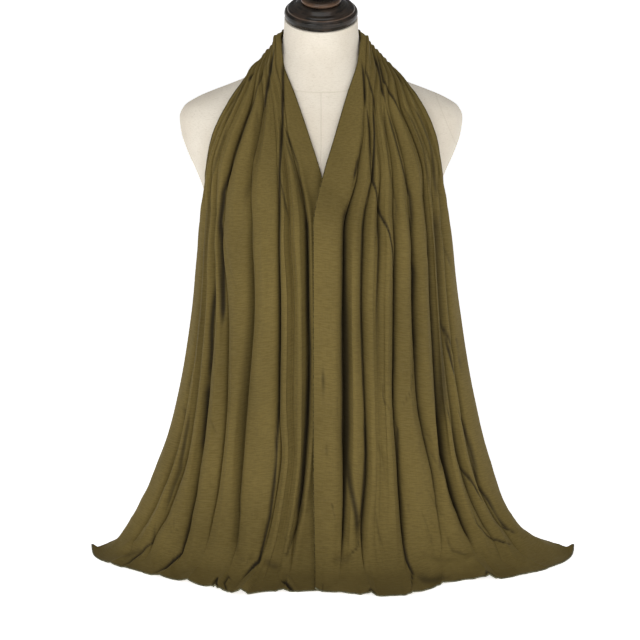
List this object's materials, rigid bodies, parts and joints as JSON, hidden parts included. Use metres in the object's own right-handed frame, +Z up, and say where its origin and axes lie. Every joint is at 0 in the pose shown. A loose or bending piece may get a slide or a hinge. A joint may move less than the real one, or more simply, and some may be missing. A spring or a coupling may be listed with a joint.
{
  "type": "hijab headscarf on a limbless dress form",
  "caption": "Long jersey hijab headscarf hung round the neck of a limbless dress form, both ends gathered in folds down the front and spread on the floor.",
  "frame": {"origin": "middle of the dress form's flat base, on the surface that it stands on", "axes": "+Z up, the front and the two falls towards -Y, +X to the viewer's right from the front"},
  "size_m": [0.6569, 0.3524, 0.7861],
  "materials": {
    "jersey": "matt olive knit",
    "linen": "matt cream weave",
    "dark_wood": "glossy stain"
  },
  "bodies": {
    "root": {"scarf_left_fall": "jersey", "scarf_neck_wrap": "jersey", "scarf_right_fall": "jersey", "dress_form": "linen", "neck_cap": "dark_wood", "cap_knob": "dark_wood"}
  },
  "joints": []
}
